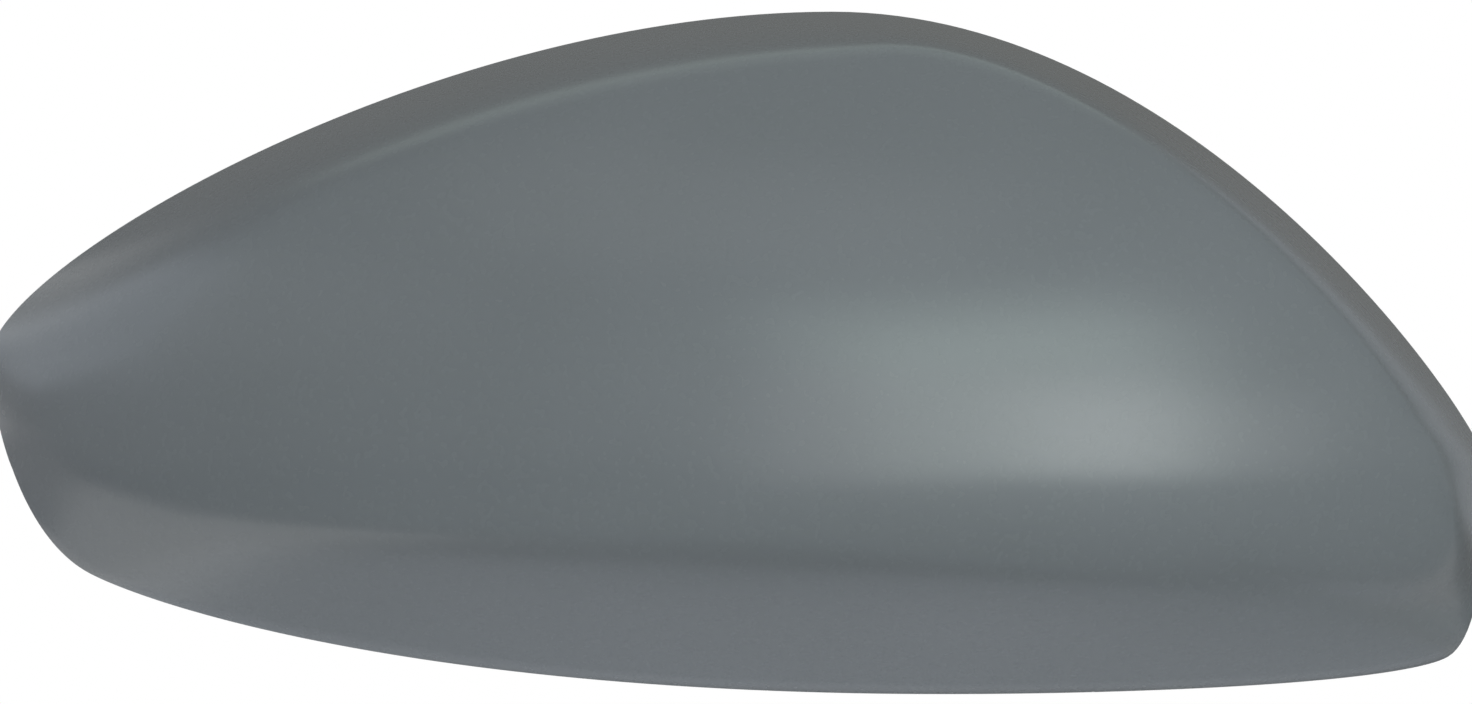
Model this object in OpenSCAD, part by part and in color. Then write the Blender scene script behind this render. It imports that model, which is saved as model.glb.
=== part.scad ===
// Wing mirror cover, moulded in one piece: a crowned shell that clips over the
// front of a door mirror housing. X runs across the car, +Z is up and the crown
// faces -Y. The origin is the centre of the main locating pin's seat.

/* [Shell] */
// Width of the cover, from the narrow tip to the broad end
cover_w = 230; // [205:1:255]
// Height of the cover, from the bottom edge to the top edge
cover_h = 105; // [95:1:118]
// Depth from the top of the rim to the foremost point of the crown
crown_depth = 74; // [66:1:84]
// How far the bottom of the rim stands in front of the top of the rim
rim_rake = 30; // [24:1:34]
// Thickness of the moulded wall
wall = 2.5; // [2:0.1:3]
// Height of the seating lip that stands behind the rim
lip_h = 1.6; // [1:0.1:2.4]
// Thickness of the seating lip
lip_t = 1.3; // [1:0.1:1.8]

/* [Crown] */
// Fall of the crown from its foremost point to the narrow tip
tip_fall = 45; // [38:1:50]
// Fall of the crown from its foremost point to the broad end
end_fall = 30; // [24:1:36]
// Fall of the crown from its foremost point to the top edge
top_fall = 39; // [32:1:44]
// Further fall of the crown where it rolls under to the bottom edge
under_roll = 22; // [14:1:26]
// Further fall of the crown where it rolls off to the narrow tip
tip_roll = 9; // [5:1:12]
// Length over which the crown rolls off to the narrow tip
tip_roll_run = 55; // [45:5:70]
// Half the width of the rounded band along the crease, over the lower flank
crease_round = 3.6; // [2.4:0.2:5]
// Half the width of the rounded band along the shoulder, round the tip and the top
shoulder_round = 11; // [6:1:14]

/* [Locating pins] */
// Radius of a locating pin
pin_r = 3; // [2.5:0.1:3.5]
// Length of a locating pin above its seat, to the start of its tapered tip
pin_len = 8; // [6:0.5:10]
// Length of the tapered tip
pin_tip = 2; // [1:0.5:3]
// Narrowing of the radius over the tapered tip
pin_taper = 1.2; // [0.6:0.2:1.6]
// Depth below the seat to which a pin is rooted in its boss
pin_root = 1; // [0.5:0.5:2]
// Radius of the boss that carries a pin
boss_r = 5.5; // [4.5:0.5:6.5]
// Depth of the pin seats in front of the top of the rim
seat_depth = 44; // [40:1:48]
// Distance from the main pin to the second pin, towards the narrow tip
pin_gap = 64; // [56:1:70]
// Thickness of the gussets that brace a boss
gusset_t = 1.6; // [1.2:0.1:2]
// Reach of a gusset from the axis of its boss, where it meets the skin
gusset_reach = 12; // [10:1:14]
// Step from the pin seat down to the top of a gusset
gusset_step = 2; // [1:0.5:3]

/* [Ribs] */
// Thickness of the stiffening ribs
rib_t = 1.4; // [1:0.1:1.8]
// Height of the stiffening ribs above the inner skin
rib_h = 4; // [3:0.5:6]
// Spacing of the upright ribs
rib_pitch = 32; // [28:1:34]
// Reach of the upright ribs below the pins
rib_low = 32; // [26:1:34]
// Length over which the end of a rib runs out
rib_fade = 8; // [5:1:12]

/* [Clips] */
// Width of a snap tab along the rim
tab_w = 12; // [9:1:15]
// Thickness of a snap tab
tab_t = 2; // [1.6:0.1:2.4]
// Projection of a snap tab behind the rim
tab_len = 8; // [6:0.5:10]
// Length of a snap tab's root inside the shell
tab_root = 12; // [9:1:15]
// Catch of a snap tab's nose
nose = 1.6; // [1.2:0.1:2]
// Length of the slope by which the nose catches
nose_slope = 1.1; // [0.8:0.1:1.6]
// Length of the flat on the nose's crest
nose_flat = 1; // [0.6:0.1:1.4]
// Length of the lead-in slope from the crest to the end of the tab
nose_lead = 1.9; // [1.4:0.1:2.4]
// Thinning of a snap tab at the end of its lead-in slope
nose_thin = 0.5; // [0.2:0.1:0.8]
// Width of a hook on the lower flank
hook_w = 16; // [12:1:20]
// Height of a hook above the rim
hook_len = 5; // [4:0.5:7]
// Distance of a hook from the edge of the cover
hook_in = 7; // [6:0.5:9]
// Reach of a hook's foot
hook_catch = 4; // [3:0.5:6]

/* [Hidden] */
$fn = 64;

// Outline of the rim and line of the shoulder and crease, both seen from the
// front and starting at the narrow tip. Each row is [x, z, dx, dz, back, ahead]:
// a point on the curve, its direction of travel and the lengths of its two
// handles, in shares of cover_w and cover_h.
RIM = [
    [-0.500, -0.005,  0.000,  0.100, 0.85, 1.25],
    [ 0.063,  0.500,  0.100,  0.000, 2.72, 2.48],
    [ 0.500, -0.172,  0.000, -0.100, 0.62, 0.40],
    [ 0.473, -0.446, -0.025, -0.034, 1.00, 1.10],
    [ 0.136, -0.500, -0.100,  0.000, 1.33, 3.58],
    [-0.433, -0.324, -0.036,  0.042, 1.00, 1.31]
];
SHOULDER = [
    [-0.492, -0.110,  0.000,  0.100, 0.25, 1.70],
    [ 0.095,  0.466,  0.100,  0.000, 3.10, 1.70],
    [ 0.492, -0.270,  0.000, -0.100, 2.20, 0.60],
    [ 0.420, -0.360, -0.100,  0.000, 0.50, 2.20],
    [-0.360, -0.251, -0.050,  0.010, 3.00, 1.60]
];
RIM_STEPS = [22, 22, 8, 12, 18, 14];
SHOULDER_STEPS = [16, 16, 10, 16, 12];
// Divisions of a section over the crown, the rounded band and the flank, for the
// outer skin, the inner skin and the trimming body
OUTER_CUTS = [10, 6, 3];
INNER_CUTS = [7, 4, 2];
TRIM_CUTS = [7, 3, 1];
// Foremost point of the crown and hub of the sections, in the same shares
CROWN_X = 0.094;
CROWN_Z = -0.130;
HUB_X = 0.040;
HUB_Z = -0.030;
// Upward lean of a section at which the crease ends and the shoulder begins
CREASE_END = -0.11;
SHOULDER_START = 0.06;
// Share of a section beyond which the shoulder doesn't reach, and the band over
// which it is held back
STEEPEST = 0.975;
HELD_BACK = 0.04;
// Largest share of the flank that the rounded band takes, on the outer skin and on
// the skins below it
BAND_SHARE = 0.85;
INNER_BAND_SHARE = 0.9;
// Sections that carry the snap tabs and the hooks
TAB_SECTIONS = [0, 9, 22, 36, 47];
HOOK_SECTIONS = [62, 74];
// Upright ribs on each side of the main pin, and length of a step along a rib
RIB_PAIRS = 3;
RIB_STEP = 5;

function bezier(a, b, c, d, t) =
    let (s = 1 - t) s*s*s*a + 3*s*s*t*b + 3*s*t*t*c + t*t*t*d;

function closed_curve(rows, steps) = [
    for (i = [0 : len(rows) - 1])
        let (
            p = rows[i],
            q = rows[(i + 1) % len(rows)],
            a = [p[0]*cover_w, p[1]*cover_h],
            d = [q[0]*cover_w, q[1]*cover_h],
            b = a + p[5]*[p[2]*cover_w, p[3]*cover_h],
            c = d - q[4]*[q[2]*cover_w, q[3]*cover_h]
        )
        for (j = [0 : steps[i] - 1]) bezier(a, b, c, d, j/steps[i])
];

rim = closed_curve(RIM, RIM_STEPS);
shoulder = closed_curve(SHOULDER, SHOULDER_STEPS);
hub = [HUB_X*cover_w, HUB_Z*cover_h];
sections = len(rim);

function cross2(a, b) = a[0]*b[1] - a[1]*b[0];

// Smooth minimum, rounded over a band of k either side of the crossing
function blend(a, b, k) = let (h = max(k - abs(a - b), 0)/k) min(a, b) - h*h*k/4;

// Share of the way from the hub to a rim point at which the shoulder is crossed
function crossing(target) = [
    for (i = [0 : len(shoulder) - 1])
        let (
            a = shoulder[i] - hub,
            side = shoulder[(i + 1) % len(shoulder)] - shoulder[i],
            ray = target - hub,
            area = cross2(ray, side)
        )
        if (abs(area) > 1e-9)
            let (along = cross2(a, side)/area, within = cross2(a, ray)/area)
            if (along > 0 && within >= 0 && within < 1) along
][0];

kappa = [for (c = rim) blend(crossing(c), STEEPEST, HELD_BACK)];

// Depth of the rim plane and of the crown in front of the top of the rim
function rim_depth(p) = rim_rake*(0.5 - p[1]/cover_h);

tip_run = (0.5 + CROWN_X)*cover_w;
end_run = (0.5 - CROWN_X)*cover_w;
top_run = (0.5 - CROWN_Z)*cover_h;
under_run = (0.5 + CROWN_Z)*cover_h;
fall_ratio = tip_fall*end_run*end_run/(end_fall*tip_run*tip_run);
skew = (1 - fall_ratio)/(tip_run + fall_ratio*end_run);
plan_curve = end_fall/(end_run*end_run*(1 + skew*end_run));

function crown(p, off = 0) =
    let (
        x = p[0] - CROWN_X*cover_w,
        z = p[1] - CROWN_Z*cover_h,
        under = max(0, -z)/under_run,
        rolled = max(0, tip_roll_run - tip_run - x)/tip_roll_run,
        depth = crown_depth - plan_curve*x*x*(1 + skew*x)
            - top_fall*pow(z/top_run, 2) - under_roll*pow(under, 3)
            - tip_roll*pow(rolled, 3),
        slope_x = plan_curve*x*(2 + 3*skew*x) - 3*tip_roll*rolled*rolled/tip_roll_run,
        slope_z = 2*top_fall*z/(top_run*top_run) - 3*under_roll*under*under/under_run
    )
    depth - off*sqrt(1 + slope_x*slope_x + slope_z*slope_z);

function section_point(i, r) = hub + (rim[i] - hub)*r;

// Rise of the flank from the rim to the shoulder, per unit share of a section
function flank_rise(i) =
    (crown(section_point(i, kappa[i])) - rim_depth(rim[i]))/(1 - kappa[i]);

// Steepness of the flank square to the rim
function flank_slope(i) =
    let (
        ray = rim[i] - hub,
        tangent = rim[(i + 1) % sections] - rim[(i + sections - 1) % sections]
    )
    flank_rise(i)*norm(tangent)/abs(cross2(ray, tangent));

rise = [for (i = [0 : sections - 1]) flank_rise(i)];
stretch = [for (i = [0 : sections - 1]) sqrt(1 + pow(flank_slope(i), 2))];

// Share of the section at which a skin lying off below the outer one meets the
// rim plane
function reach(i, off) =
    1 - off*stretch[i]/(rise[i] - rim_rake/cover_h*(rim[i] - hub)[1]);

// Share of the section at which a skin turns from the crown into the flank, and
// half width of the rounded band there
function turn(i, off) = kappa[i] - off*(stretch[i] - 1)/rise[i];
function band(i) =
    let (
        ray = rim[i] - hub,
        up = min(1, max(0, (ray[1]/norm(ray) - CREASE_END)/(SHOULDER_START - CREASE_END))),
        half = crease_round + (shoulder_round - crease_round)*up*up*(3 - 2*up)
    )
    min(half/norm(ray), BAND_SHARE*(1 - kappa[i]));

// Depth of a skin lying off below the outer one, on section i
function skin_depth(i, r, off) =
    blend(
        crown(section_point(i, r), off),
        rim_depth(rim[i]) + (1 - r)*rise[i] - off*stretch[i],
        band(i)*rise[i]
    );

function place(p, depth) = [p[0], seat_depth - depth, p[1]];

// Shares of a section at which the skins are divided: across the crown, over
// the rounded band and down the flank
function divisions(i, off, cuts) =
    let (k = turn(i, off), last = reach(i, off), b = min(band(i), INNER_BAND_SHARE*(last - k)))
    concat(
        [for (j = [1 : cuts[0]]) (k - b)*j/cuts[0]],
        [for (j = [1 : cuts[1]]) k - b + 2*b*j/cuts[1]],
        [for (j = [1 : cuts[2]]) k + b + (last - k - b)*j/cuts[2]]
    );

// One ring of points for each division, from the hub outwards
function skin_rings(off, cuts, step = 1) =
    let (shares = [for (i = [0 : step : sections - 1]) divisions(i, off, cuts)])
    [for (j = [0 : len(shares[0]) - 1]) [
        for (q = [0 : len(shares) - 1])
            let (i = q*step, r = shares[q][j])
            place(section_point(i, r), skin_depth(i, r, off))
    ]];

function back(ring, d) = [for (p = ring) p + [0, d, 0]];
function flatten(rows) = [for (row = rows) for (p = row) p];

// Closed body through a run of rings, with a point closing each end
module ringed(first, rings, last) {
    m = len(rings[0]);
    n = len(rings);
    faces = concat(
        [for (i = [0 : m - 1]) [0, 1 + i, 1 + (i + 1) % m]],
        [for (j = [0 : n - 2]) for (i = [0 : m - 1])
            [1 + j*m + i, 1 + (j + 1)*m + i, 1 + j*m + (i + 1) % m]],
        [for (j = [0 : n - 2]) for (i = [0 : m - 1])
            [1 + j*m + (i + 1) % m, 1 + (j + 1)*m + i, 1 + (j + 1)*m + (i + 1) % m]],
        [for (i = [0 : m - 1]) [1 + n*m, 1 + (n - 1)*m + (i + 1) % m, 1 + (n - 1)*m + i]]
    );
    polyhedron(concat([first], flatten(rings), [last]), faces, convexity = 10);
}

module shell() {
    outer = skin_rings(0, OUTER_CUTS);
    inner = skin_rings(wall, INNER_CUTS);
    seat = [
        for (i = [0 : sections - 1])
            let (r = reach(i, wall - lip_t))
            place(section_point(i, r), skin_depth(i, r, wall - lip_t))
    ];
    edge = inner[len(inner) - 1];
    ringed(
        place(hub, crown(hub)),
        concat(
            outer,
            [seat, back(seat, lip_h), back(edge, lip_h)],
            [for (j = [len(inner) - 1 : -1 : 0]) inner[j]]
        ),
        place(hub, crown(hub, wall))
    );
}

// Filled body up to the middle of the wall, carried on behind the rim past the
// ends of the snap tabs: what is moulded inside the cover is trimmed to it
module cavity() {
    skin = skin_rings(wall/2, TRIM_CUTS, 2);
    edge = skin[len(skin) - 1];
    past = 2*tab_len;
    ringed(
        place(hub, crown(hub, wall/2)),
        concat(skin, [back(edge, past)]),
        place(hub, rim_depth(hub)) + [0, past, 0]
    );
}

module locating_pin(x) {
    translate([x, -pin_root, 0]) rotate([-90, 0, 0]) {
        cylinder(r = pin_r, h = pin_root + pin_len);
        translate([0, 0, pin_root + pin_len])
            cylinder(r1 = pin_r, r2 = pin_r - pin_taper, h = pin_tip);
    }
}

// Boss under a locating pin, with four gussets down to the skin
module boss(x) {
    h = crown([x, 0], wall) - seat_depth;
    spread = (gusset_reach - boss_r)/(h - gusset_step);
    foot = crown_depth - seat_depth;
    translate([x, 0, 0]) {
        rotate([90, 0, 0]) cylinder(r = boss_r, h = foot);
        for (a = [45 : 90 : 315]) rotate([0, a, 0])
            translate([0, 0, -gusset_t/2]) linear_extrude(height = gusset_t)
                polygon([
                    [0, -gusset_step], [boss_r, -gusset_step],
                    [boss_r + spread*(foot - gusset_step), -foot], [0, -foot]
                ]);
    }
}

// Stiffening rib that follows the inner skin of the crown from a to b, and runs
// out to nothing at either end
module rib(a, b) {
    run = norm(b - a);
    n = ceil(run/RIB_STEP);
    edge = [
        for (j = [0 : n])
            let (s = run*j/n, h = rib_h*min(1, s/rib_fade, (run - s)/rib_fade))
            [s, seat_depth - crown(a + (b - a)*j/n, wall) + h]
    ];
    translate([a[0], 0, a[1]]) rotate([0, atan2(a[1] - b[1], b[0] - a[0]), 0])
        translate([0, 0, -rib_t/2]) linear_extrude(height = rib_t)
            polygon(concat([[0, -crown_depth]], edge, [[run, -crown_depth]]));
}

module ribs() {
    rib([-cover_w/2, 0], [cover_w/2, 0]);
    for (k = [-RIB_PAIRS : RIB_PAIRS - 1])
        let (x = (k + 0.5)*rib_pitch)
        rib([x, -rib_low], [x, cover_h/2]);
}

// Frame on the rim at section i: x runs inwards, y backwards and z along the rim
module at_rim(i) {
    tangent = rim[(i + 1) % sections] - rim[(i + sections - 1) % sections];
    translate(place(rim[i], rim_depth(rim[i])))
        rotate([0, atan2(tangent[0], tangent[1]), 0]) children();
}

module snap_tab(i) {
    face = wall/2 + tab_t;
    crest = tab_len - nose_lead;
    at_rim(i) translate([0, 0, -tab_w/2]) linear_extrude(height = tab_w)
        polygon([
            [-wall, -tab_root], [face, -tab_root], [face, crest - nose_flat - nose_slope],
            [face + nose, crest - nose_flat], [face + nose, crest],
            [face - nose_thin, tab_len], [-wall, tab_len]
        ]);
}

module hook(i) {
    near = hook_in;
    far = hook_in + tab_t;
    at_rim(i) translate([0, 0, -hook_w/2]) linear_extrude(height = hook_w)
        polygon([
            [near, -crown_depth], [far, -crown_depth], [far, hook_len - tab_t],
            [far + hook_catch, hook_len - tab_t], [far + hook_catch, hook_len], [near, hook_len]
        ]);
}

module mirror_cover() {
    color("#6c7076") union() {
        shell();
        intersection() {
            union() {
                boss(0);
                boss(-pin_gap);
                ribs();
                for (i = TAB_SECTIONS) snap_tab(i);
                for (i = HOOK_SECTIONS) hook(i);
            }
            cavity();
        }
        locating_pin(0);
        locating_pin(-pin_gap);
    }
}

mirror_cover();
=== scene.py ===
# %% [markdown]
# # Dressing a wing mirror cover
#
# The object is the cap that clips over the front of a door mirror, sold in grey primer and ready to be
# painted. It comes out of one mould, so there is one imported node. Its form is already right, but it is made
# of flat facets, and a satin primer shows every facet in its highlights. This script builds the same moulding
# again with a fine, smooth skin, gives it its two finishes, and lights it as in a studio.

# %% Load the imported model
import math

import bmesh
import bpy
from mathutils import Matrix, Vector
from mathutils.geometry import interpolate_bezier


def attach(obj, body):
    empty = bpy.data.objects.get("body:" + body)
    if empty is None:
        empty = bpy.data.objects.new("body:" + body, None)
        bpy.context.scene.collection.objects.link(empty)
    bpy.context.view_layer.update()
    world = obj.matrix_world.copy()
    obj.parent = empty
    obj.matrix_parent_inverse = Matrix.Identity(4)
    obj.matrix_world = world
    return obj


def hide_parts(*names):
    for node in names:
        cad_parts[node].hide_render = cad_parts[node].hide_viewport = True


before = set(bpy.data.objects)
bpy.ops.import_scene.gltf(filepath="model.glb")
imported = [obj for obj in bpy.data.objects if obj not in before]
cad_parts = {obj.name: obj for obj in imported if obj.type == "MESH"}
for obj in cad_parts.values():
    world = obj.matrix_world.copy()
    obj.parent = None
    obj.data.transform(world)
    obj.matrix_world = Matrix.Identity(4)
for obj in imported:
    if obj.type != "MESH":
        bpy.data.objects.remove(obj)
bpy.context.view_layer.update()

NODE = "mirror_cover"
BODY = "root"

# %% [markdown]
# ## The sizes of the moulding
#
# Every size is in millimetres, as on a drawing, and one factor turns them into metres when a vertex is
# placed. The outline of the rim and the line of the shoulder are two closed curves seen from the front. A
# row of a curve is a point, its direction of travel and the reach of its two handles, in shares of the
# width and height, so the curves need only five or six points each.

# %% Sizes of the shell
MM = 0.001
MERGE = 0.001
COVER_W = 230.0
COVER_H = 105.0
CROWN_DEPTH = 74.0
RIM_RAKE = 30.0
SEAT_DEPTH = 44.0
WALL = 2.5
LIP_H = 1.6
LIP_T = 1.3

# How far the crown falls from its highest point to the tip, to the broad end and to the top.
TIP_FALL = 45.0
END_FALL = 30.0
TOP_FALL = 39.0

# How much further it rolls away towards the bottom edge and towards the tip.
UNDER_ROLL = 22.0
TIP_ROLL = 9.0
TIP_ROLL_RUN = 55.0

# Half widths of the round between crown and flank, along the bottom and over the top.
CREASE_ROUND = 3.6
SHOULDER_ROUND = 11.0

# The crown's highest point and the hub of all sections, in shares of the width and height.
CROWN_AT = (0.094, -0.130)
HUB_AT = (0.040, -0.030)

# The furthest out that the flank may start and how softly it is held there, in shares of a section.
STEEPEST = 0.975
HELD_BACK = 0.04

# How much of the flank the round may take up, on the outer skin and on an inner one.
BAND_SHARE = 0.85
INNER_BAND_SHARE = 0.9

# Sines of the rise of a section's ray at which the crease ends and the full shoulder starts.
CREASE_END = -0.11
SHOULDER_START = 0.06

RIM = [
    (-0.500, -0.005, 0.000, 0.100, 0.85, 1.25),
    (0.063, 0.500, 0.100, 0.000, 2.72, 2.48),
    (0.500, -0.172, 0.000, -0.100, 0.62, 0.40),
    (0.473, -0.446, -0.025, -0.034, 1.00, 1.10),
    (0.136, -0.500, -0.100, 0.000, 1.33, 3.58),
    (-0.433, -0.324, -0.036, 0.042, 1.00, 1.31),
]
SHOULDER = [
    (-0.492, -0.110, 0.000, 0.100, 0.25, 1.70),
    (0.095, 0.466, 0.100, 0.000, 3.10, 1.70),
    (0.492, -0.270, 0.000, -0.100, 2.20, 0.60),
    (0.420, -0.360, -0.100, 0.000, 0.50, 2.20),
    (-0.360, -0.251, -0.050, 0.010, 3.00, 1.60),
]
FINER = 3
RIM_STEPS = [FINER * count for count in (22, 22, 8, 12, 18, 14)]
SHOULDER_STEPS = [FINER * count for count in (16, 16, 10, 16, 12)]
print("cover", COVER_W, "by", COVER_H, "mm, crown", CROWN_DEPTH, "mm deep")

# %% The two curves


def closed_curve(rows, steps):
    """Points along a closed chain of Bezier spans, in millimetres."""
    size = Vector((COVER_W, COVER_H))
    points = []
    for row, after, count in zip(rows, rows[1:] + rows[:1], steps):
        start = Vector(row[0:2]) * size
        end = Vector(after[0:2]) * size
        leave = start + Vector(row[2:4]) * size * row[5]
        arrive = end - Vector(after[2:4]) * size * after[4]
        span = interpolate_bezier(start.to_3d(), leave.to_3d(), arrive.to_3d(), end.to_3d(), count + 1)
        points += [point.to_2d() for point in span[:-1]]
    return points


rim = closed_curve(RIM, RIM_STEPS)
shoulder = closed_curve(SHOULDER, SHOULDER_STEPS)
hub = Vector((HUB_AT[0] * COVER_W, HUB_AT[1] * COVER_H))
SECTIONS = len(rim)
print("sections round the hub:", SECTIONS)

# %% [markdown]
# ## The crown, the flank and the round between them
#
# The face of the cover is a shallow crown: one formula gives its depth at any point. The flank is a straight
# wall from the rim up to the shoulder line. Where the two meet, a smooth minimum rounds the corner. It is
# narrow along the bottom, which makes the crease, and three times as wide over the top, which makes the soft
# shoulder. A subdivision surface over a coarse cage could give the same feeling, but a formula keeps the skin
# exactly where the solid is.

# %% Depth of the crown and of the rim plane


def blend(a, b, width):
    """Smooth minimum of a and b, rounded over width on either side of their crossing."""
    near = max(width - abs(a - b), 0.0) / width
    return min(a, b) - near * near * width / 4


tip_run = (0.5 + CROWN_AT[0]) * COVER_W
end_run = (0.5 - CROWN_AT[0]) * COVER_W
top_run = (0.5 - CROWN_AT[1]) * COVER_H
under_run = (0.5 + CROWN_AT[1]) * COVER_H
fall_ratio = TIP_FALL * end_run ** 2 / (END_FALL * tip_run ** 2)
skew = (1 - fall_ratio) / (tip_run + fall_ratio * end_run)
plan_curve = END_FALL / (end_run ** 2 * (1 + skew * end_run))


def crown(point, below=0.0):
    """Depth of the crown in front of the top of the rim, or of a skin that lies below it."""
    x = point[0] - CROWN_AT[0] * COVER_W
    z = point[1] - CROWN_AT[1] * COVER_H
    under = max(0.0, -z) / under_run
    rolled = max(0.0, TIP_ROLL_RUN - tip_run - x) / TIP_ROLL_RUN
    depth = CROWN_DEPTH - plan_curve * x * x * (1 + skew * x)
    depth -= TOP_FALL * (z / top_run) ** 2 + UNDER_ROLL * under ** 3 + TIP_ROLL * rolled ** 3
    slope_x = plan_curve * x * (2 + 3 * skew * x) - 3 * TIP_ROLL * rolled ** 2 / TIP_ROLL_RUN
    slope_z = 2 * TOP_FALL * z / top_run ** 2 - 3 * UNDER_ROLL * under ** 2 / under_run
    return depth - below * math.sqrt(1 + slope_x ** 2 + slope_z ** 2)


def rim_depth(point):
    return RIM_RAKE * (0.5 - point[1] / COVER_H)


def place(point, depth):
    """A point of the drawing, in metres in the part's frame."""
    return Vector((point[0] * MM, (SEAT_DEPTH - depth) * MM, point[1] * MM))


# %% One section of the shell for each point of the rim


def cross(a, b):
    return a[0] * b[1] - a[1] * b[0]


def crossing(ray):
    """Share of the ray from the hub at which it crosses the shoulder line."""
    for start, end in zip(shoulder, shoulder[1:] + shoulder[:1]):
        side = end - start
        area = cross(ray, side)
        if abs(area) < 1e-9:
            continue
        along = cross(start - hub, side) / area
        within = cross(start - hub, ray) / area
        if along > 0 and 0 <= within < 1:
            return along
    raise ValueError("the shoulder line does not close round the hub")


class Section:
    """The cut through the shell from the hub to one point of the rim."""

    def __init__(self, index):
        self.rim = rim[index]
        self.ray = self.rim - hub
        self.knee = blend(crossing(self.ray), STEEPEST, HELD_BACK)
        tangent = rim[(index + 1) % SECTIONS] - rim[index - 1]
        knee_depth = crown(hub + self.ray * self.knee)
        self.rise = (knee_depth - rim_depth(self.rim)) / (1 - self.knee)
        slope = self.rise * tangent.length / abs(cross(self.ray, tangent))
        self.stretch = math.sqrt(1 + slope ** 2)
        lean = self.ray[1] / self.ray.length
        up = min(1.0, max(0.0, (lean - CREASE_END) / (SHOULDER_START - CREASE_END)))
        half = CREASE_ROUND + (SHOULDER_ROUND - CREASE_ROUND) * up * up * (3 - 2 * up)
        self.band = min(half / self.ray.length, BAND_SHARE * (1 - self.knee))

    def at(self, share, below=0.0):
        """A point of the skin that lies below the outer one, in metres."""
        point = hub + self.ray * share
        flank = rim_depth(self.rim) + (1 - share) * self.rise - below * self.stretch
        return place(point, blend(crown(point, below), flank, self.band * self.rise))

    def reach(self, below):
        """Share of the section at which that skin meets the rim plane."""
        lean = RIM_RAKE / COVER_H * self.ray[1]
        return 1 - below * self.stretch / (self.rise - lean)

    def skin(self, below, crown_n, band_n, flank_n):
        """The skin from the hub outwards, divided most finely where it turns."""
        end = self.reach(below)
        knee = self.knee - below * (self.stretch - 1) / self.rise
        half = min(self.band, INNER_BAND_SHARE * (end - knee))
        shares = [(knee - half) * j / crown_n for j in range(crown_n)]
        shares += [knee - half + 2 * half * j / band_n for j in range(band_n)]
        shares += [knee + half + (end - knee - half) * j / flank_n for j in range(flank_n + 1)]
        return [self.at(share, below) for share in shares]


sections = [Section(index) for index in range(SECTIONS)]
print("shoulder at", min(s.knee for s in sections), "to", max(s.knee for s in sections), "of a section")

# %% [markdown]
# ## Grain for the two finishes
#
# Sprayed primer and moulded plastic are both plain at arm's length and never plain up close. Primer dries
# with a faint orange peel, a millimetre or two from crest to crest, over a much finer grain. Moulded plastic
# takes the grain of the tool. Both are the same effect at other sizes, so it is one node group: a slow, a
# coarse and a fine noise on Object coordinates, which don't slide when the piece is seen from elsewhere.

# %% Node group for mottle and grain


def new_grain_group():
    """Three noises, given out as a slow change of shade, a change of gloss and a height."""
    group = bpy.data.node_groups.new("mottle_and_grain", "ShaderNodeTree")
    ports = group.interface
    for label, value in (("Cloud size", 40.0), ("Peel size", 1.5), ("Grain size", 0.2), ("Grain share", 0.3)):
        port = ports.new_socket(label, in_out="INPUT", socket_type="NodeSocketFloat")
        port.default_value = value
    for label in ("Shade", "Gloss", "Height"):
        ports.new_socket(label, in_out="OUTPUT", socket_type="NodeSocketFloat")
    nodes = group.nodes
    links = group.links
    inputs = nodes.new("NodeGroupInput")
    outputs = nodes.new("NodeGroupOutput")
    coordinates = nodes.new("ShaderNodeTexCoord")

    def noise(size_port, detail):
        """Noise whose features are about as large as the named size, in millimetres."""
        scale = nodes.new("ShaderNodeMath")
        scale.operation = "DIVIDE"
        scale.inputs[0].default_value = 1 / MM
        links.new(inputs.outputs[size_port], scale.inputs[1])
        pattern = nodes.new("ShaderNodeTexNoise")
        pattern.inputs["Detail"].default_value = detail
        links.new(coordinates.outputs["Object"], pattern.inputs["Vector"])
        links.new(scale.outputs["Value"], pattern.inputs["Scale"])
        return pattern.outputs["Fac"]

    cloud = noise("Cloud size", 2.0)
    peel = noise("Peel size", 1.0)
    grain = noise("Grain size", 2.0)
    height = nodes.new("ShaderNodeMix")
    links.new(inputs.outputs["Grain share"], height.inputs["Factor"])
    links.new(peel, height.inputs["A"])
    links.new(grain, height.inputs["B"])
    links.new(cloud, outputs.inputs["Shade"])
    links.new(peel, outputs.inputs["Gloss"])
    links.new(height.outputs["Result"], outputs.inputs["Height"])
    return group


grain_group = new_grain_group()
print("inputs of the grain group:", [item.name for item in grain_group.interface.items_tree])

# %% Helpers for a finish
NOISE_LOW = 0.3
NOISE_HIGH = 0.7

# A Mix node has an A, a B and a Result for each kind of data. These are the places of the colour ones.
COLOUR_A = 6
COLOUR_B = 7
COLOUR_RESULT = 2


def feed(owner, value, socket):
    """Set a socket to a value, or link it if the value is another node's output."""
    if isinstance(value, bpy.types.NodeSocket):
        owner.node_tree.links.new(value, socket)
    else:
        socket.default_value = value


def new_finish(name, **sizes):
    """A material with the grain group in it, whose inputs are set to these sizes."""
    material = bpy.data.materials.new(name)
    material.use_nodes = True
    nodes = material.node_tree.nodes
    grain = nodes.new("ShaderNodeGroup")
    grain.node_tree = grain_group
    for label, value in sizes.items():
        grain.inputs[label.replace("_", " ").capitalize()].default_value = value
    return material, grain


def spread(material, source, low, high):
    """Map a noise, whose values crowd round a half, onto the range from low to high."""
    spreader = material.node_tree.nodes.new("ShaderNodeMapRange")
    spreader.inputs["From Min"].default_value = NOISE_LOW
    spreader.inputs["From Max"].default_value = NOISE_HIGH
    spreader.inputs["To Min"].default_value = low
    spreader.inputs["To Max"].default_value = high
    material.node_tree.links.new(source, spreader.inputs["Value"])
    return spreader.outputs["Result"]


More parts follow.
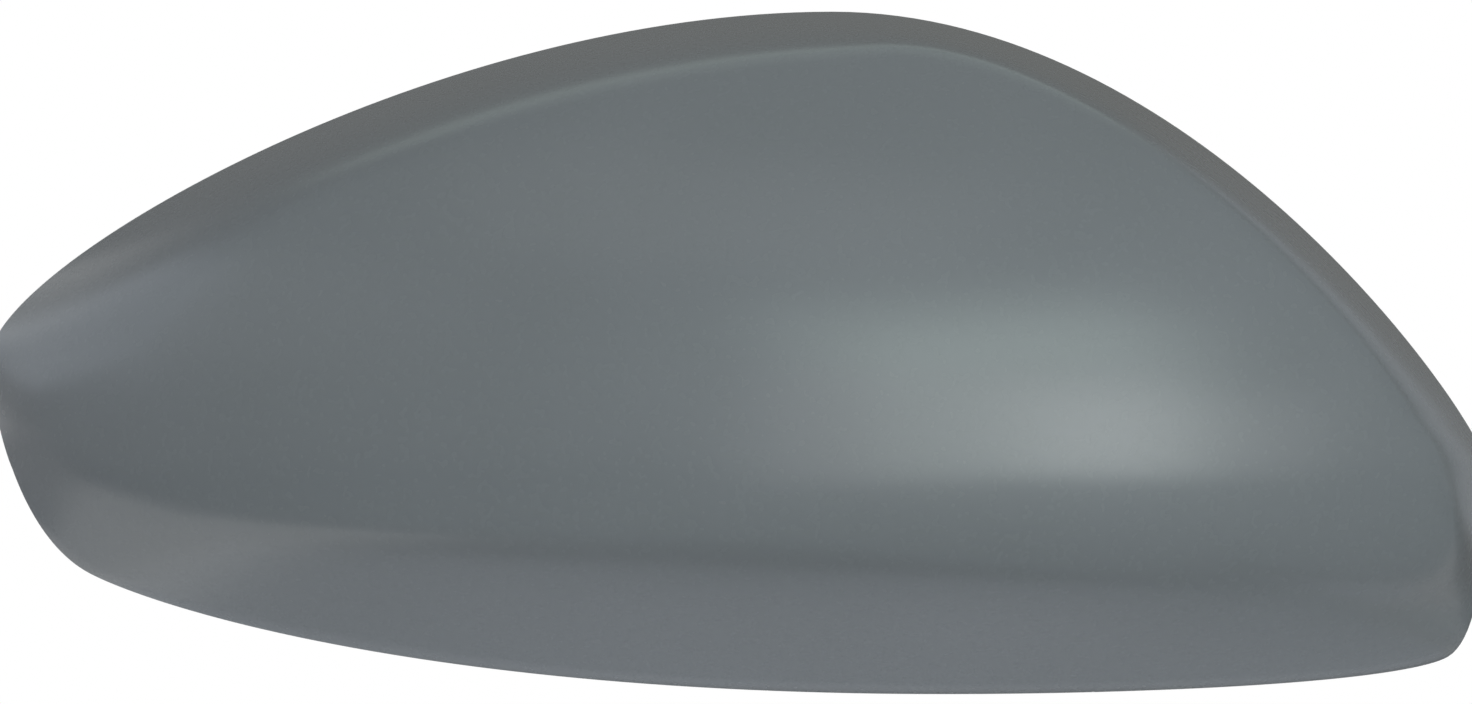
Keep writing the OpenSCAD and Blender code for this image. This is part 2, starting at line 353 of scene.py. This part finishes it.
def mixed_colour(owner, factor, first, second):
    """Mix of two colours, each given as a colour or as another node's output."""
    mixer = owner.node_tree.nodes.new("ShaderNodeMix")
    mixer.data_type = "RGBA"
    owner.node_tree.links.new(factor, mixer.inputs["Factor"])
    feed(owner, first, mixer.inputs[COLOUR_A])
    feed(owner, second, mixer.inputs[COLOUR_B])
    return mixer.outputs[COLOUR_RESULT]


def emboss(material, height, depth_mm, strength):
    """Lead a height into the shader's normal, with the bump's depth in millimetres."""
    nodes = material.node_tree.nodes
    bump = nodes.new("ShaderNodeBump")
    bump.inputs["Distance"].default_value = depth_mm * MM
    bump.inputs["Strength"].default_value = strength
    material.node_tree.links.new(height, bump.inputs["Height"])
    material.node_tree.links.new(bump.outputs["Normal"], nodes["Principled BSDF"].inputs["Normal"])


# %% [markdown]
# ## Grey primer
#
# The paint is a satin grey with a touch of blue. Its shade drifts by a few parts in a hundred, as paint does
# that went on in passes, and the peel shows only where a lamp is mirrored. One flat colour would look like a
# computer's idea of plastic, and a strong bump like cast iron, so both effects stay at the edge of sight.

# %% Primer
PRIMER_DARK = (0.146, 0.158, 0.176, 1.0)
PRIMER_LIGHT = (0.154, 0.166, 0.186, 1.0)
PRIMER_ROUGHNESS = (0.262, 0.278)
PRIMER_BUMP = (0.005, 0.3)


def primer():
    material, grain = new_finish(
        "grey_primer", cloud_size=45.0, peel_size=1.6, grain_size=0.22, grain_share=0.12
    )
    shader = material.node_tree.nodes["Principled BSDF"]
    links = material.node_tree.links
    shade = spread(material, grain.outputs["Shade"], 0.0, 1.0)
    links.new(mixed_colour(material, shade, PRIMER_DARK, PRIMER_LIGHT), shader.inputs["Base Color"])
    links.new(spread(material, grain.outputs["Gloss"], *PRIMER_ROUGHNESS), shader.inputs["Roughness"])
    emboss(material, grain.outputs["Height"], *PRIMER_BUMP)
    return material


# %% [markdown]
# ## Bare plastic with overspray
#
# The gun only reaches the outside. Behind the rim the black plastic is bare, and a mist of primer settles on
# the first centimetre of it. The mist is a mask: the distance in front of the rim plane, which is a dot
# product of the position with the plane's normal, broken up by the grain. No image and no painting by hand
# is needed, and the mask stays right on the tabs and ribs too.

# %% Bare plastic
PLASTIC_DARK = (0.036, 0.037, 0.038, 1.0)
PLASTIC_LIGHT = (0.046, 0.047, 0.049, 1.0)
MIST_FULL = 1.0
MIST_END = 13.0
MIST_RAGGED = 3.0
PLASTIC_ROUGHNESS = (0.40, 0.50)
PLASTIC_BUMP = (0.012, 0.4)
rake = RIM_RAKE / COVER_H
plane_length = math.hypot(1, rake)


def rim_distance(material):
    """Distance in front of the rim plane, in millimetres."""
    nodes = material.node_tree.nodes
    links = material.node_tree.links
    coordinates = nodes.new("ShaderNodeTexCoord")
    along = nodes.new("ShaderNodeVectorMath")
    along.operation = "DOT_PRODUCT"
    along.inputs[1].default_value = Vector((0, -1, rake)) / (plane_length * MM)
    links.new(coordinates.outputs["Object"], along.inputs[0])
    offset = nodes.new("ShaderNodeMath")
    offset.operation = "ADD"
    offset.inputs[1].default_value = (SEAT_DEPTH - RIM_RAKE / 2) / plane_length
    links.new(along.outputs["Value"], offset.inputs[0])
    return offset.outputs["Value"]


def bare_plastic():
    material, grain = new_finish(
        "bare_plastic", cloud_size=9.0, peel_size=0.9, grain_size=0.25, grain_share=0.6
    )
    nodes = material.node_tree.nodes
    links = material.node_tree.links
    shader = nodes["Principled BSDF"]
    ragged = nodes.new("ShaderNodeMath")
    ragged.operation = "ADD"
    links.new(rim_distance(material), ragged.inputs[0])
    links.new(spread(material, grain.outputs["Shade"], -MIST_RAGGED, MIST_RAGGED), ragged.inputs[1])
    mist = nodes.new("ShaderNodeMapRange")
    mist.interpolation_type = "SMOOTHSTEP"
    mist.inputs["From Min"].default_value = MIST_FULL
    mist.inputs["From Max"].default_value = MIST_END
    mist.inputs["To Min"].default_value = 1.0
    mist.inputs["To Max"].default_value = 0.0
    links.new(ragged.outputs["Value"], mist.inputs["Value"])
    bare = mixed_colour(material, grain.outputs["Gloss"], PLASTIC_DARK, PLASTIC_LIGHT)
    colour = mixed_colour(material, mist.outputs["Result"], bare, PRIMER_LIGHT)
    links.new(colour, shader.inputs["Base Color"])
    links.new(spread(material, grain.outputs["Gloss"], *PLASTIC_ROUGHNESS), shader.inputs["Roughness"])
    emboss(material, grain.outputs["Height"], *PLASTIC_BUMP)
    return material


PRIMER = primer()
PLASTIC = bare_plastic()
print("finishes:", PRIMER.name, PLASTIC.name)

# %% [markdown]
# ## The shell as one wrapped grid
#
# A grid from bmesh is a sheet with rows and columns. Its columns go round the hub and its rows run from the
# middle of the face out to the rim, over the seating lip and back along the inner skin. Each vertex is moved
# to its place and the seam and the two poles are merged, which closes the sheet into a solid wall. A Solidify
# modifier would be shorter, but the moulding's wall ends in a step, and the rows draw that step as well.

# %% Wrap a grid round the sections


def wrapped_grid(profiles):
    """Closed mesh whose columns are the profiles, with the row number kept on each vertex."""
    columns = len(profiles)
    rows = len(profiles[0]) - 1
    bm = bmesh.new()
    bmesh.ops.create_grid(bm, x_segments=columns, y_segments=rows, size=1.0)
    row_of = bm.verts.layers.int.new("row")
    for vert in bm.verts:
        column = round((vert.co.x + 1) / 2 * columns) % columns
        row = round((vert.co.y + 1) / 2 * rows)
        vert[row_of] = row
        vert.co = profiles[column][row]
    bmesh.ops.remove_doubles(bm, verts=bm.verts, dist=MERGE * MM)
    bmesh.ops.recalc_face_normals(bm, faces=bm.faces)
    return bm, row_of


def bevelled(bm, edges, offset, segments):
    """Round these edges by the offset, in millimetres."""
    bmesh.ops.bevel(
        bm, geom=edges, offset=offset * MM, segments=segments, profile=0.5, affect="EDGES", material=-1
    )


def as_object(bm, name):
    mesh = bpy.data.meshes.new(name)
    bm.to_mesh(mesh)
    bm.free()
    made = bpy.data.objects.new(name, mesh)
    bpy.context.collection.objects.link(made)
    return made


SHARP = math.radians(50)


def finished(bm, name, *materials):
    """Make the object, riding on the cover's body and standing for its node."""
    for face in bm.faces:
        face.smooth = True
    piece = as_object(bm, name)
    piece.data.set_sharp_from_angle(angle=SHARP)
    for material in materials:
        piece.data.materials.append(material)
    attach(piece, BODY)
    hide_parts(NODE)
    print(name, "has", len(piece.data.polygons), "faces")
    return piece


# %% The shell
OUTER = (36, 14, 8)
INNER = (24, 8, 4)
CORNER = 0.3


def lip(section):
    """The rim's flat edge and the seating lip behind it."""
    root = section.at(section.reach(WALL - LIP_T), WALL - LIP_T)
    edge = section.at(section.reach(WALL), WALL)
    step = Vector((0, LIP_H * MM, 0))
    return [root, root + step, edge + step]


profiles = [s.skin(0.0, *OUTER) + lip(s) + s.skin(WALL, *INNER)[::-1] for s in sections]
shell_mesh, row_of = wrapped_grid(profiles)
rim_row = sum(OUTER)
crest_row = rim_row + 3
for face in shell_mesh.faces:
    inside = min(vert[row_of] for vert in face.verts) >= crest_row
    face.material_index = 1 if inside else 0
corner_rows = (rim_row, rim_row + 2, crest_row)
corners = [
    edge for edge in shell_mesh.edges
    if edge.verts[0][row_of] == edge.verts[1][row_of] and edge.verts[0][row_of] in corner_rows
]
bevelled(shell_mesh, corners, CORNER, segments=2)
finished(shell_mesh, "shell", PRIMER, PLASTIC)

# %% [markdown]
# ## A body to trim the inside to
#
# Ribs, tabs and bosses grow out of the wall. Each one is made as a plain plate or turned piece that runs on
# through the wall, and is then cut off in the middle of the wall, where nothing shows. The cutter is the
# shell's own skin, half a wall deep, closed behind the rim. A Boolean intersection leaves the part that lies
# inside it, so the foot of every rib follows the curve of the shell without a single measured point. A cut
# can leave slivers thinner than a hair, and they are merged away.

# %% Trimming body
TRIM = (24, 6, 3)
PAST_RIM = 16.0


def trim_profile(section):
    skin = section.skin(WALL / 2, *TRIM)
    back = Vector((0, PAST_RIM * MM, 0))
    return skin + [skin[-1] + back, place(hub, rim_depth(hub)) + back]


trimmer = as_object(wrapped_grid([trim_profile(s) for s in sections[::FINER]])[0], "trimmer")
print("trimming body has", len(trimmer.data.polygons), "faces")

# %% Cut solids to the trimming body and gather them
SLIVER = 0.02


def trimmed(solids):
    """One bmesh that holds the part of each solid inside the trimming body, without slivers."""
    gathered = bmesh.new()
    for bm in solids:
        solid = as_object(bm, "solid")
        cut = solid.modifiers.new("trim", "BOOLEAN")
        cut.operation = "INTERSECT"
        cut.solver = "EXACT"
        cut.object = trimmer
        bpy.context.view_layer.update()
        shaped = solid.evaluated_get(bpy.context.evaluated_depsgraph_get())
        mesh = bpy.data.meshes.new_from_object(shaped)
        gathered.from_mesh(mesh)
        bpy.data.meshes.remove(mesh)
        bpy.data.objects.remove(solid)
    bmesh.ops.triangulate(gathered, faces=gathered.faces)
    bmesh.ops.dissolve_degenerate(gathered, edges=gathered.edges, dist=SLIVER * MM)
    return gathered


# %% Make a plate and round its edges
CREASED = math.radians(28)
PLATE_ROUND = 0.3
THIN_ROUND = 0.25


def rounded(bm, offset, segments=2):
    """Bevel the edges at which the surface turns sharply."""
    edges = [edge for edge in bm.edges if edge.is_manifold and edge.calc_face_angle() > CREASED]
    bevelled(bm, edges, offset, segments)


def plate(outline, thickness, matrix, offset=PLATE_ROUND):
    """Plate with this outline in its own x and y, in millimetres, centred on its own z."""
    bm = bmesh.new()
    face = bm.faces.new([bm.verts.new((x * MM, y * MM, -thickness / 2 * MM)) for x, y in outline])
    grown = bmesh.ops.extrude_face_region(bm, geom=[face])["geom"]
    bmesh.ops.translate(
        bm, verts=[v for v in grown if isinstance(v, bmesh.types.BMVert)], vec=(0, 0, thickness * MM)
    )
    bmesh.ops.recalc_face_normals(bm, faces=bm.faces)
    rounded(bm, offset)
    bmesh.ops.transform(bm, matrix=matrix, verts=bm.verts)
    return bm


def upright(x, z, angle):
    """Where a plate stands: turned about the axis that runs back into the housing."""
    return Matrix.Translation((x * MM, 0, z * MM)) @ Matrix.Rotation(angle, 4, "Y")


# %% [markdown]
# ## Locating pins on their bosses
#
# Two round pins set the cover on the housing before its tabs snap in. Each stands on a boss, and four
# gussets brace the boss against the shell, because a pin alone would snap off. A pin and its boss are turned
# shapes, so half of their outline is drawn once and spun round the pin's axis. Then the rings at which the
# outline turns get a small round, as the mould has.

# %% Pins, bosses and gussets
PIN_R = 3.0
PIN_LEN = 8.0
PIN_TIP = 2.0
PIN_TAPER = 1.2
PIN_GAP = 64.0
BOSS_R = 5.5
GUSSET_T = 1.6
GUSSET_START = 1.0
GUSSET_REACH = 12.0
GUSSET_STEP = 2.0
GUSSETS = 4
TURN_STEPS = 64
PIN_ROUND = 0.4
PIN_AT = (0.0, -PIN_GAP)
foot = CROWN_DEPTH - SEAT_DEPTH


def pin_and_boss(x):
    outline = [
        (0, -foot), (BOSS_R, -foot), (BOSS_R, 0), (PIN_R, 0),
        (PIN_R, PIN_LEN), (PIN_R - PIN_TAPER, PIN_LEN + PIN_TIP), (0, PIN_LEN + PIN_TIP),
    ]
    bm = bmesh.new()
    verts = [bm.verts.new(((x + r) * MM, y * MM, 0)) for r, y in outline]
    edges = [bm.edges.new(pair) for pair in zip(verts, verts[1:])]
    bmesh.ops.spin(
        bm, geom=verts + edges, cent=(x * MM, 0, 0), axis=(0, 1, 0), dvec=(0, 0, 0),
        angle=2 * math.pi, steps=TURN_STEPS, use_merge=True,
    )
    bmesh.ops.remove_doubles(bm, verts=bm.verts, dist=MERGE * MM)
    bmesh.ops.recalc_face_normals(bm, faces=bm.faces)
    rounded(bm, PIN_ROUND, segments=3)
    return bm


def gusset(x, angle):
    height = crown((x, 0), WALL) - SEAT_DEPTH
    spread_out = (GUSSET_REACH - BOSS_R) / (height - GUSSET_STEP)
    outline = [
        (GUSSET_START, -GUSSET_STEP), (BOSS_R, -GUSSET_STEP),
        (BOSS_R + spread_out * (foot - GUSSET_STEP), -foot), (GUSSET_START, -foot),
    ]
    return plate(outline, GUSSET_T, upright(x, 0, angle), THIN_ROUND)


turned = [pin_and_boss(x) for x in PIN_AT]
braces = [gusset(x, 2 * math.pi * (k + 0.5) / GUSSETS) for x in PIN_AT for k in range(GUSSETS)]
finished(trimmed(turned), "locating_pins", PLASTIC)
finished(trimmed(braces), "gussets", PLASTIC)

# %% [markdown]
# ## Ribs
#
# One long rib and six upright ones keep the thin shell from drumming. Their crests follow the inner skin at
# an even height, so the crest is read from the crown's own formula, point by point. The free lower ends run
# out to nothing, as they must to fill and release well, and the other ends run into the wall.

# %% Ribs
RIB_T = 1.4
RIB_H = 4.0
RIB_PITCH = 32.0
RIB_LOW = 32.0
RIB_FADE = 8.0
RIB_PAIRS = 3
RIB_STEP = 1.25


def rib(start, end):
    run = (end - start).length
    count = math.ceil(run / RIB_STEP)
    crest = []
    for j in range(count + 1):
        along = run * j / count
        height = RIB_H * min(1, along / RIB_FADE, (run - along) / RIB_FADE)
        crest.append((along, SEAT_DEPTH - crown(start.lerp(end, j / count), WALL) + height))
    outline = [(0, -CROWN_DEPTH)] + crest + [(run, -CROWN_DEPTH)]
    turn = math.atan2(start[1] - end[1], end[0] - start[0])
    return plate(outline, RIB_T, upright(start[0], start[1], turn), THIN_ROUND)


ribs = [rib(Vector((-COVER_W / 2, 0)), Vector((COVER_W / 2, 0)))]
for k in range(-RIB_PAIRS, RIB_PAIRS):
    rib_x = (k + 0.5) * RIB_PITCH
    ribs.append(rib(Vector((rib_x, -RIB_LOW)), Vector((rib_x, COVER_H / 2))))
finished(trimmed(ribs), "ribs", PLASTIC)

# %% [markdown]
# ## Snap tabs and hooks
#
# Five tabs stand behind the rim. Each has a nose with a long slope to ride in on and a short one to hold by.
# Two hooks on the lower flank catch first, and the cover then swings home on them. All are plates as thick
# as the tab is wide, so the drawing shows the profile that does the work.

# %% Snap tabs and hooks
TAB_W = 12.0
TAB_T = 2.0
TAB_LEN = 8.0
TAB_ROOT = 12.0
NOSE = 1.6
NOSE_SLOPE = 1.1
NOSE_FLAT = 1.0
NOSE_LEAD = 1.9
NOSE_THIN = 0.5
TAB_SECTIONS = (0, 9, 22, 36, 47)
HOOK_W = 16.0
HOOK_LEN = 5.0
HOOK_IN = 7.0
HOOK_CATCH = 4.0
HOOK_SECTIONS = (62, 74)


def at_rim(index):
    """Frame on the rim: x runs inwards, y backwards and z along the rim."""
    here = index * FINER
    tangent = rim[(here + FINER) % SECTIONS] - rim[here - FINER]
    turn = Matrix.Rotation(math.atan2(tangent[0], tangent[1]), 4, "Y")
    return Matrix.Translation(place(rim[here], rim_depth(rim[here]))) @ turn


def snap_tab(index):
    face = WALL / 2 + TAB_T
    crest = TAB_LEN - NOSE_LEAD
    outline = [
        (-WALL, -TAB_ROOT), (face, -TAB_ROOT), (face, crest - NOSE_FLAT - NOSE_SLOPE),
        (face + NOSE, crest - NOSE_FLAT), (face + NOSE, crest),
        (face - NOSE_THIN, TAB_LEN), (-WALL, TAB_LEN),
    ]
    return plate(outline, TAB_W, at_rim(index))


def hook(index):
    far = HOOK_IN + TAB_T
    outline = [
        (HOOK_IN, -CROWN_DEPTH), (far, -CROWN_DEPTH), (far, HOOK_LEN - TAB_T),
        (far + HOOK_CATCH, HOOK_LEN - TAB_T), (far + HOOK_CATCH, HOOK_LEN), (HOOK_IN, HOOK_LEN),
    ]
    return plate(outline, HOOK_W, at_rim(index))


finished(trimmed([snap_tab(index) for index in TAB_SECTIONS]), "snap_tabs", PLASTIC)
finished(trimmed([hook(index) for index in HOOK_SECTIONS]), "lower_hooks", PLASTIC)
bpy.data.objects.remove(trimmer)

# %% [markdown]
# ## Camera
#
# The photograph looks straight along the part's depth, from far enough away that the flank hides behind the
# crown. A camera 3 m off with a long lens gives the same flat view, and the lens is worked out so that one
# pixel covers the same share of the cover as in the photograph.

# %% Camera
PHOTO_W = 1472
PHOTO_H = 704
CENTRE_PX = (738.5, 351.5)
WIDTH_PX = 1497.0
DISTANCE = 3.0
metres_per_px = COVER_W * MM / WIDTH_PX
camera_data = bpy.data.cameras.new("camera")
camera = bpy.data.objects.new("camera", camera_data)
bpy.context.collection.objects.link(camera)
bpy.context.scene.camera = camera
across = (PHOTO_W / 2 - CENTRE_PX[0]) * metres_per_px
up = (CENTRE_PX[1] - PHOTO_H / 2) * metres_per_px
camera.location = (across, -DISTANCE, up)
camera.rotation_euler = (math.pi / 2, 0, 0)
RIM_Y = (SEAT_DEPTH - RIM_RAKE / 2) * MM
camera_data.lens = camera_data.sensor_width * (DISTANCE + RIM_Y) / (PHOTO_W * metres_per_px)
camera_data.clip_end = 50.0
print("lens", camera_data.lens)

# %% [markdown]
# ## Floor
#
# A pale floor lies well below the cover, which is held by its pins and rests on nothing. It throws light up
# onto the lower flank, as a studio table does. To the camera it adds a glow of its own, so that it reads as
# white and still takes a soft shadow.

# %% Floor
FLOOR_Z = -0.45
FLOOR_SIZE = 6.0
FLOOR_SHADE = (0.42, 0.42, 0.42, 1.0)
FLOOR_ROUGHNESS = 0.9
FLOOR_GLOW = 0.72
WHITE = (1.0, 1.0, 1.0, 1.0)


def camera_only(owner, off, on):
    """A value that is on for the camera's own rays and off for the light that falls on things."""
    paths = owner.node_tree.nodes.new("ShaderNodeLightPath")
    chooser = owner.node_tree.nodes.new("ShaderNodeMix")
    feed(owner, off, chooser.inputs["A"])
    feed(owner, on, chooser.inputs["B"])
    owner.node_tree.links.new(paths.outputs["Is Camera Ray"], chooser.inputs["Factor"])
    return chooser.outputs["Result"]


def pale_paper():
    paper = bpy.data.materials.new("pale_paper")
    paper.use_nodes = True
    shader = paper.node_tree.nodes["Principled BSDF"]
    shader.inputs["Base Color"].default_value = FLOOR_SHADE
    shader.inputs["Roughness"].default_value = FLOOR_ROUGHNESS
    shader.inputs["Emission Color"].default_value = WHITE
    feed(paper, camera_only(paper, 0.0, FLOOR_GLOW), shader.inputs["Emission Strength"])
    return paper


floor_mesh = bmesh.new()
bmesh.ops.create_grid(floor_mesh, x_segments=1, y_segments=1, size=FLOOR_SIZE / 2)
bmesh.ops.translate(floor_mesh, verts=floor_mesh.verts, vec=(0, 0, FLOOR_Z))
floor = as_object(floor_mesh, "floor")
floor.data.materials.append(pale_paper())
print("floor at", FLOOR_Z, "m")

# %% [markdown]
# ## Studio light
#
# Everything soft: a pale room all round, darker behind the cover, and large panels. Each panel is placed by
# its bearing and height seen from the cover, and its strength is given as brightness, so a panel can change
# size without changing what the paint mirrors. The key light is five panels that overlap, brightest in the
# middle, because a big softbox is never even and one even panel would leave a hard-edged patch on the crown.
# Panels on the left light the nose from beside and behind it. The one above and behind draws the thin line
# along the shoulder, a small one straight behind lights the hollow, and glowing cards light the flank.

# %% World
ROOM = 0.318
ROOM_BEHIND = 0.212
BEHIND_FROM = 0.1
BEHIND_TO = 0.7
ROOM_TINT = (1.0, 0.98, 0.92, 1.0)


def room_brightness(world):
    """Brightness of the room, which falls off from the sides to straight behind the cover."""
    nodes = world.node_tree.nodes
    links = world.node_tree.links
    directions = nodes.new("ShaderNodeTexCoord")
    axes = nodes.new("ShaderNodeSeparateXYZ")
    links.new(directions.outputs["Generated"], axes.inputs["Vector"])
    falloff = nodes.new("ShaderNodeMapRange")
    falloff.inputs["From Min"].default_value = BEHIND_FROM
    falloff.inputs["From Max"].default_value = BEHIND_TO
    falloff.inputs["To Min"].default_value = ROOM
    falloff.inputs["To Max"].default_value = ROOM_BEHIND
    links.new(axes.outputs["Y"], falloff.inputs["Value"])
    return falloff.outputs["Result"]


def studio_world():
    world = bpy.data.worlds.new("studio")
    world.use_nodes = True
    background = world.node_tree.nodes["Background"]
    feed(world, camera_only(world, room_brightness(world), 1.0), background.inputs["Strength"])
    seen = camera_only(world, 0.0, 1.0)
    feed(world, mixed_colour(world, seen, ROOM_TINT, WHITE), background.inputs["Color"])
    return world


bpy.context.scene.world = studio_world()
bpy.context.scene.view_settings.view_transform = "Standard"
print("room brightness", ROOM, "and", ROOM_BEHIND, "behind")

# %% Panels and cards
PLAIN = (1.0, 1.0, 1.0)
COOL = (0.83, 1.0, 0.92)
SKY = (0.80, 0.88, 1.0)
LAMP_REACH = 1.1
CARD_LIFT = 0.005


def lit_panel(name, place_at, facing, wide, tall, brightness, tint):
    """A rectangular lamp with its centre, the way it faces and its sizes in metres."""
    data = bpy.data.lights.new(name, "AREA")
    data.shape = "RECTANGLE"
    data.size = wide
    data.size_y = tall
    data.color = tint
    data.energy = math.pi * wide * tall * brightness
    lamp = bpy.data.objects.new(name, data)
    bpy.context.collection.objects.link(lamp)
    lamp.location = place_at
    lamp.rotation_euler = facing.to_track_quat("-Z", "Y").to_euler()
    lamp.visible_camera = False


def panel(name, bearing, height, wide, tall, brightness, tint=PLAIN):
    """A panel that faces the cover, with its place and its sizes as angles in degrees."""
    side = math.radians(bearing)
    rise = math.radians(height)
    way = Vector((math.sin(side) * math.cos(rise), -math.cos(side) * math.cos(rise), math.sin(rise)))
    across = 2 * LAMP_REACH * math.tan(math.radians(wide / 2))
    upward = 2 * LAMP_REACH * math.tan(math.radians(tall / 2))
    lit_panel(name, way * LAMP_REACH, -way, across, upward, brightness, tint)


def card(name, x, y, wide, deep, brightness, tint=PLAIN):
    """A glowing card that lies just above the floor, in metres."""
    lit_panel(name, Vector((x, y, FLOOR_Z + CARD_LIFT)), Vector((0, 0, 1)), wide, deep, brightness, tint)


panel("key_core", 25, 2, 23, 33, 2.14)
panel("key_middle", 21, 9, 42, 50, 1.54, COOL)
panel("key_low", 37, -1, 32, 24, 1.15)
panel("key_top", 12, 32, 40, 20, 1.60, COOL)
panel("key_left", 0, 1, 24, 41, 1.25)
panel("high_left", -20, 62, 40, 24, 0.41)
panel("side_left", -97, 27, 50, 30, 1.05, SKY)
panel("back_left", -135, 12, 30, 35, 1.22)
panel("front_left", -60, 30, 25, 25, 0.24)
panel("low_left", -112, -12, 40, 22, 0.28)
panel("top_back", 180, 62, 50, 36, 0.56, COOL)
panel("right_back", 140, 15, 30, 40, 0.31, SKY)
panel("behind", 180, -2, 16, 9, 9.0)
card("card_behind", 0.0, 0.35, 0.6, 0.5, 0.46, SKY)
card("card_right", 0.65, 0.35, 0.7, 0.5, 0.36)
card("card_left", -0.62, 0.2, 0.75, 0.6, 1.08)
